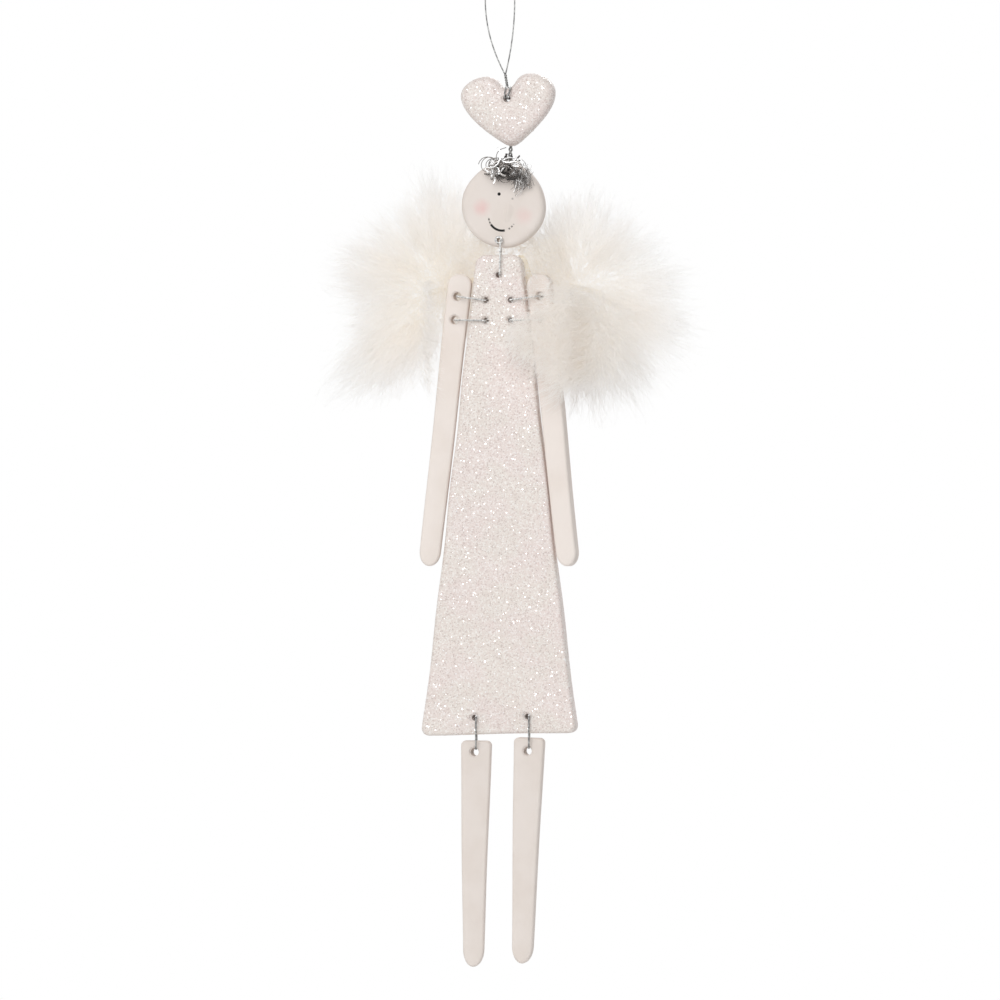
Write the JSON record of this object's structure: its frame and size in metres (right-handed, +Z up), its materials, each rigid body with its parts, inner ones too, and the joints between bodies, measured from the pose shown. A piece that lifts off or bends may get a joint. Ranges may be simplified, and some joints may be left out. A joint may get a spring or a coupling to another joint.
{
  "type": "hanging angel ornament",
  "caption": "Flat clay angel on a wire loop: glittered heart, painted head, long dress, wired arms and legs, and down wings, all free to swing.",
  "frame": {"origin": "top of the hanging loop, on the inside of the wire, where a hook takes it", "axes": "+Z up along the chain of pieces, -Y out of the face, +X to the viewer's right"},
  "size_m": [0.0987, 0.0285, 0.2649],
  "materials": {
    "clay": "matte, unglazed",
    "glitter_clay": "coated with fine pale pink and silver glitter",
    "silver_wire": "bright drawn wire",
    "tinsel": "shiny crimped tinsel and thin curled wire",
    "down": "soft white marabou down",
    "quill": "cream feather shafts",
    "glue": "cream set glue"
  },
  "bodies": {
    "hanger": {"hanging_loop": "silver_wire"},
    "heart": {"heart": "glitter_clay"},
    "heart_link": {"heart_link": "silver_wire"},
    "head": {"head": "clay", "nose": "clay", "hair_curls": "tinsel", "hair_tinsel": "tinsel"},
    "neck_link": {"neck_link": "silver_wire"},
    "dress": {"dress": "glitter_clay", "left_quills": "quill", "left_wing": "down", "left_wing_glue": "glue", "right_quills": "quill", "right_wing": "down", "right_wing_glue": "glue"},
    "left_arm_wires": {"left_upper_arm_wire": "silver_wire", "left_lower_arm_wire": "silver_wire"},
    "left_arm": {"left_arm": "clay"},
    "right_arm_wires": {"right_upper_arm_wire": "silver_wire", "right_lower_arm_wire": "silver_wire"},
    "right_arm": {"right_arm": "clay"},
    "left_leg_link": {"left_leg_link": "silver_wire"},
    "left_leg": {"left_leg": "clay"},
    "right_leg_link": {"right_leg_link": "silver_wire"},
    "right_leg": {"right_leg": "clay"}
  },
  "joints": [
    {"name": "heart_swing", "type": "hinge", "parent": "hanger", "child": "heart", "pos_m": [0.0024, 0, -0.03048], "axis": [1, 0, 0], "range_deg": [-12, 12]},
    {"name": "heart_link_sway", "type": "hinge", "parent": "heart", "child": "heart_link", "pos_m": [0.00281, 0, -0.03048], "axis": [0, 1, 0], "range_deg": [-8, 7]},
    {"name": "head_nod", "type": "hinge", "parent": "heart_link", "child": "head", "pos_m": [0.00195, 0, -0.04942], "axis": [1, 0, 0], "range_deg": [-12, 12]},
    {"name": "neck_sway", "type": "hinge", "parent": "head", "child": "neck_link", "pos_m": [0.00025, 0, -0.06894], "axis": [0, 1, 0], "range_deg": [-12, 12]},
    {"name": "dress_swing", "type": "hinge", "parent": "neck_link", "child": "dress", "pos_m": [0, 0, -0.07808], "axis": [1, 0, 0], "range_deg": [-8, 8]},
    {"name": "left_arm_wires_swing", "type": "hinge", "parent": "dress", "child": "left_arm_wires", "pos_m": [-0.0034, 0, -0.08488], "axis": [0, 0, 1], "range_deg": [-12, 12]},
    {"name": "left_arm_turn", "type": "hinge", "parent": "left_arm_wires", "child": "left_arm", "pos_m": [-0.01141, 0, -0.08384], "axis": [0.1132, 0, 0.9936], "range_deg": [-12, 12]},
    {"name": "right_arm_wires_swing", "type": "hinge", "parent": "dress", "child": "right_arm_wires", "pos_m": [0.0034, 0, -0.08488], "axis": [0, 0, 1], "range_deg": [-12, 12]},
    {"name": "right_arm_turn", "type": "hinge", "parent": "right_arm_wires", "child": "right_arm", "pos_m": [0.01141, 0, -0.08384], "axis": [-0.1132, 0, 0.9936], "range_deg": [-12, 12]},
    {"name": "left_leg_sway", "type": "hinge", "parent": "dress", "child": "left_leg_link", "pos_m": [-0.00655, 0, -0.19754], "axis": [0, 1, 0], "range_deg": [-4, 13]},
    {"name": "left_leg_swing", "type": "hinge", "parent": "left_leg_link", "child": "left_leg", "pos_m": [-0.00655, 0, -0.20684], "axis": [1, 0, 0], "range_deg": [-12, 12]},
    {"name": "right_leg_sway", "type": "hinge", "parent": "dress", "child": "right_leg_link", "pos_m": [0.00805, 0, -0.19719], "axis": [0, 1, 0], "range_deg": [-13, 4]},
    {"name": "right_leg_swing", "type": "hinge", "parent": "right_leg_link", "child": "right_leg", "pos_m": [0.00805, 0, -0.20649], "axis": [1, 0, 0], "range_deg": [-12, 12]}
  ]
}
